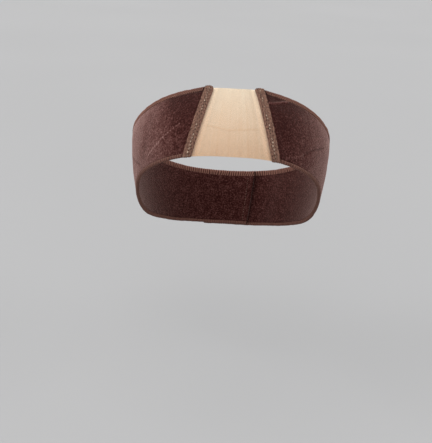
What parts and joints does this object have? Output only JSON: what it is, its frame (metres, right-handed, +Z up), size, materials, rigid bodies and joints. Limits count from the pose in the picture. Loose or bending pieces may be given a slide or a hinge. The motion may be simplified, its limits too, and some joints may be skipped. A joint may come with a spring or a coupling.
{
  "type": "wig grip band",
  "caption": "Soft velvet band worn at the hairline to grip a wig, with a sheer lace front panel, knit-bound strip ends and tabs that lap at the nape.",
  "frame": {"origin": "centre of the head hollow, at its widest level", "axes": "+Z up the upright head, -Y towards the brow, +X to the right as seen from the front"},
  "size_m": [0.1556, 0.1822, 0.1568],
  "materials": {
    "velvet": "brown velvet with a short mottled pile and a soft sheen",
    "edging": "brown narrow knit edging with slanting ribs",
    "binding": "taupe jersey-knit tape with a stitched middle",
    "lace": "sheer cream net",
    "patch": "dark hook-and-loop tape"
  },
  "bodies": {
    "root": {"velvet_left": "velvet", "velvet_right": "velvet", "top_edging_left": "edging", "top_edging_right": "edging", "bottom_edging_left": "edging", "bottom_edging_right": "edging", "binding_left": "binding", "binding_right": "binding", "lace_panel": "lace", "hook_patch": "patch"}
  },
  "joints": []
}
